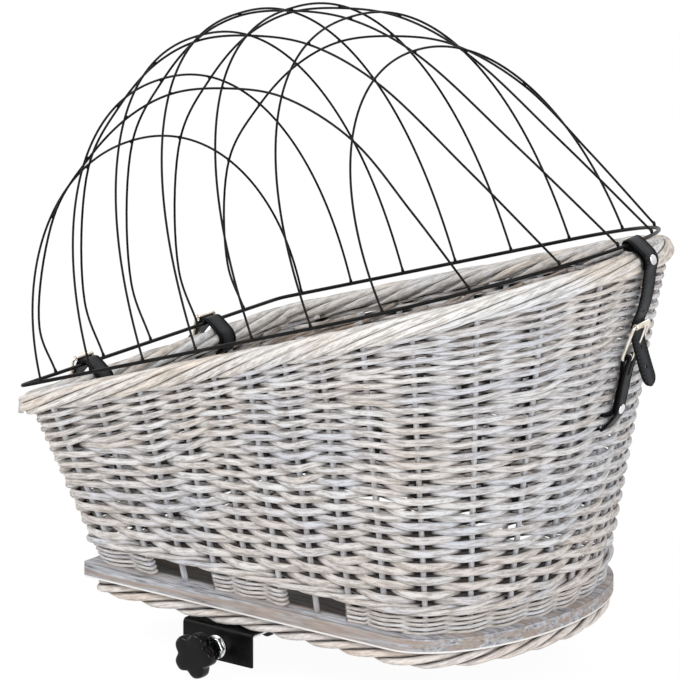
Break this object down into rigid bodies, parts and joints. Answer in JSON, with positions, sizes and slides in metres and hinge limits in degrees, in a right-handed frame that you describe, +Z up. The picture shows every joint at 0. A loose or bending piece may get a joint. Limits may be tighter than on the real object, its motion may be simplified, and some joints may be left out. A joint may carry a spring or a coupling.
{
  "type": "dog bicycle basket",
  "caption": "Grey willow dog basket for a bicycle carrier: sloping rim, wooden base board, hinged wire lattice dome closed by a buckled leather strap, and a screw clamp with star knobs.",
  "frame": {"origin": "the middle of the clamp plate's underside, where it sits on the bicycle carrier", "axes": "+Z up, +X towards the high, round end, -Y the side seen nearest in the picture"},
  "size_m": [0.5279, 0.356, 0.5271],
  "materials": {
    "willow_weave": "grey-washed willow rods, matt",
    "willow_border": "pale willow rods, matt",
    "grey_board": "grey-washed softwood, matt",
    "lattice_wire": "black powder-coated steel wire",
    "black_leather": "black imitation leather with a fine edge line",
    "buckle_nickel": "nickel-plated steel",
    "rivet_chrome": "bright nickel",
    "bracket_steel": "black powder coat, satin",
    "zinc_steel": "bright zinc plate",
    "knob_plastic": "black moulded plastic, semi-gloss",
    "pad_rubber": "black rubber"
  },
  "bodies": {
    "basket": {"anchor_rivet": "rivet_chrome", "anchor_strap": "black_leather", "band_far": "willow_weave", "band_high_end": "willow_weave", "band_low_end": "willow_weave", "band_near": "willow_weave", "base_board": "grey_board", "basket_wall": "willow_weave", "clamp_nut_far": "zinc_steel", "clamp_nut_near": "zinc_steel", "clamp_plate": "bracket_steel", "clamp_screw_1": "zinc_steel", "clamp_screw_2": "zinc_steel", "clamp_screw_3": "zinc_steel", "clamp_screw_4": "zinc_steel", "foot_braid": "willow_border", "hinge_buckle_far": "buckle_nickel", "hinge_buckle_near": "buckle_nickel", "hinge_prong_far": "buckle_nickel", "hinge_prong_near": "buckle_nickel", "hinge_strap_far": "black_leather", "hinge_strap_near": "black_leather", "rim_border": "willow_border", "slot_stake_far_high": "willow_weave", "slot_stake_far_low": "willow_weave", "slot_stake_near_high": "willow_weave", "slot_stake_near_low": "willow_weave", "spacer_batten_high": "grey_board", "spacer_batten_low": "grey_board"},
    "lattice": {"lattice_ring": "lattice_wire", "cross_arch_1": "lattice_wire", "cross_arch_2": "lattice_wire", "cross_arch_3": "lattice_wire", "cross_arch_4": "lattice_wire", "cross_arch_5": "lattice_wire", "cross_arch_6": "lattice_wire", "cross_arch_7": "lattice_wire", "long_arch_1": "lattice_wire", "long_arch_2": "lattice_wire", "long_arch_3": "lattice_wire", "long_arch_4": "lattice_wire", "long_arch_5": "lattice_wire"},
    "closing_strap": {"closing_strap": "black_leather", "closing_strap_rivet": "rivet_chrome"},
    "closing_buckle": {"closing_buckle": "buckle_nickel"},
    "closing_prong": {"closing_prong": "buckle_nickel"},
    "closing_roller": {"closing_roller": "buckle_nickel"},
    "hinge_roller_near": {"hinge_roller_near": "buckle_nickel"},
    "hinge_roller_far": {"hinge_roller_far": "buckle_nickel"},
    "clamp_pad_near": {"clamp_pad_near": "pad_rubber"},
    "clamp_knob_near": {"clamp_knob_near": "knob_plastic", "clamp_bolt_near": "zinc_steel"},
    "clamp_pad_far": {"clamp_pad_far": "pad_rubber"},
    "clamp_knob_far": {"clamp_knob_far": "knob_plastic", "clamp_bolt_far": "zinc_steel"}
  },
  "joints": [
    {"name": "lattice_hinge", "type": "hinge", "parent": "basket", "child": "lattice", "pos_m": [-0.1755, 0, 0.1821], "axis": [0, -1, 0], "range_deg": [0, 115]},
    {"name": "closing_strap_swing", "type": "hinge", "parent": "lattice", "child": "closing_strap", "pos_m": [0.30525, 0.02, 0.34468], "axis": [-0.1245, 0.9922, 0], "range_deg": [0, 116], "deforming": ["closing_strap"]},
    {"name": "closing_buckle_swing", "type": "hinge", "parent": "basket", "child": "closing_buckle", "pos_m": [0.30306, 0.01972, 0.24977], "axis": [-0.1245, 0.9922, 0], "range_deg": [0, 104]},
    {"name": "closing_prong_swing", "type": "hinge", "parent": "basket", "child": "closing_prong", "pos_m": [0.30306, 0.01972, 0.24977], "axis": [-0.1245, 0.9922, 0], "range_deg": [0, 139]},
    {"name": "closing_roller_spin", "type": "hinge", "parent": "closing_buckle", "child": "closing_roller", "pos_m": [0.31418, 0.02112, 0.27868], "axis": [-0.1245, 0.9922, 0], "continuous": true},
    {"name": "hinge_roller_near_spin", "type": "hinge", "parent": "basket", "child": "hinge_roller_near", "pos_m": [-0.18279, -0.079, 0.1865], "axis": [0, 1, 0], "continuous": true},
    {"name": "hinge_roller_far_spin", "type": "hinge", "parent": "basket", "child": "hinge_roller_far", "pos_m": [-0.18279, 0.079, 0.1865], "axis": [0, 1, 0], "continuous": true},
    {"name": "clamp_pad_near_slide", "type": "slide", "parent": "basket", "child": "clamp_pad_near", "axis": [0, -1, 0], "range_m": [0, 0.0201]},
    {"name": "clamp_knob_near_turn", "type": "hinge", "parent": "clamp_pad_near", "child": "clamp_knob_near", "pos_m": [0, -0.13, -0.015], "axis": [0, -1, 0], "range_deg": [0, 5760]},
    {"name": "clamp_pad_far_slide", "type": "slide", "parent": "basket", "child": "clamp_pad_far", "axis": [0, 1, 0], "range_m": [0, 0.0201]},
    {"name": "clamp_knob_far_turn", "type": "hinge", "parent": "clamp_pad_far", "child": "clamp_knob_far", "pos_m": [0, 0.13, -0.015], "axis": [0, 1, 0], "range_deg": [0, 5760]}
  ],
  "couplings": [
    {"joint": "closing_strap_swing", "follows": "lattice_hinge", "ratio": 1},
    {"joint": "closing_buckle_swing", "follows": "lattice_hinge", "ratio": 0.9},
    {"joint": "closing_prong_swing", "follows": "lattice_hinge", "ratio": 1.2},
    {"joint": "clamp_pad_near_slide", "follows": "clamp_knob_near_turn", "m_per_rad": 0.00019894},
    {"joint": "clamp_pad_far_slide", "follows": "clamp_knob_far_turn", "m_per_rad": 0.00019894}
  ]
}
